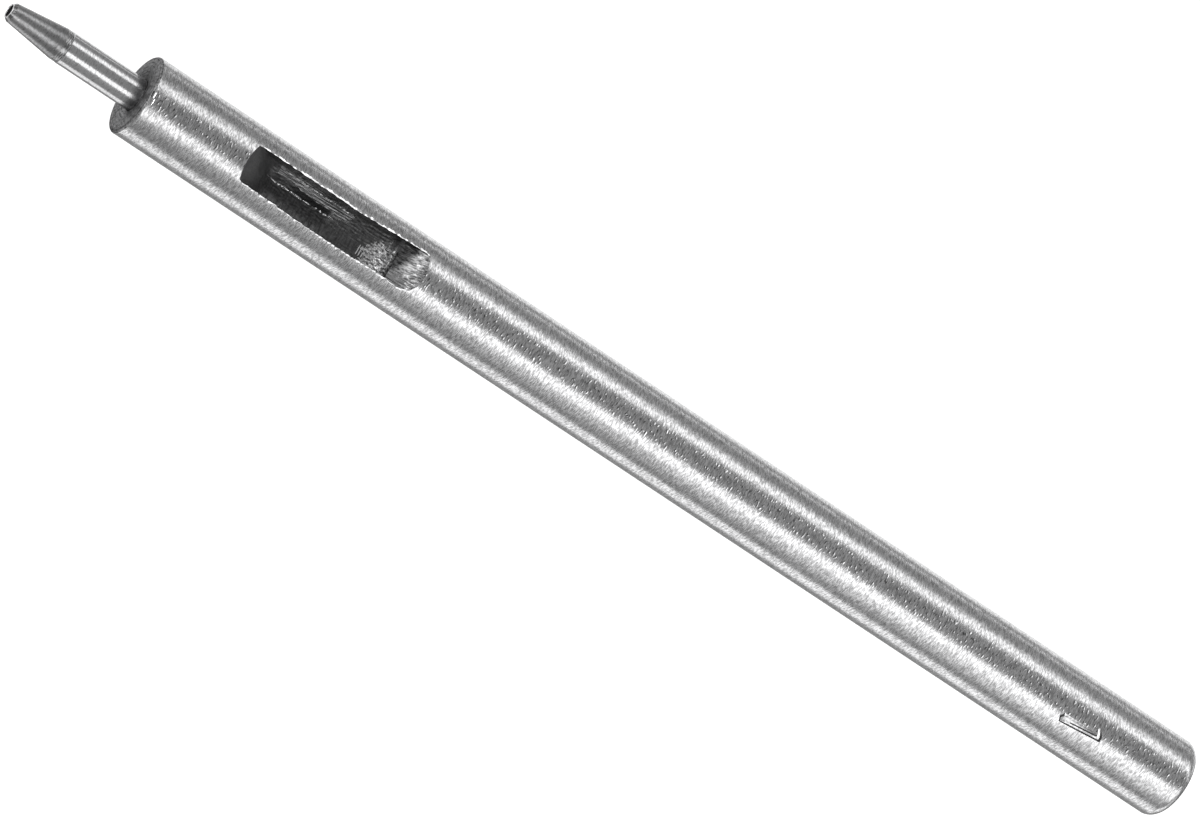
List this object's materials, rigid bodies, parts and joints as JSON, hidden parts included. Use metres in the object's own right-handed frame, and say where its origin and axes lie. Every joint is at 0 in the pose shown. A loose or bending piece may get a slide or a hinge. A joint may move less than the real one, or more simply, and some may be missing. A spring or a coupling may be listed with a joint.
{
  "type": "hollow punch",
  "caption": "Slim round steel hollow punch: a straight cutting tube with a tapered mouth, driven into a plain bar handle with a side window that lets the slugs out.",
  "frame": {"origin": "centre of the flat striking face, on the punch's axis", "axes": "+X along the punch's axis out of the striking face, so the cutting edge points to -X; +Z out of the ejection window"},
  "size_m": [0.119, 0.007, 0.007],
  "materials": {
    "handle_steel": "bright steel with fine crosswise brush marks",
    "tube_steel": "ground and polished steel, duller on the cone"
  },
  "bodies": {
    "root": {"handle": "handle_steel", "cutting_tube": "tube_steel"}
  },
  "joints": []
}
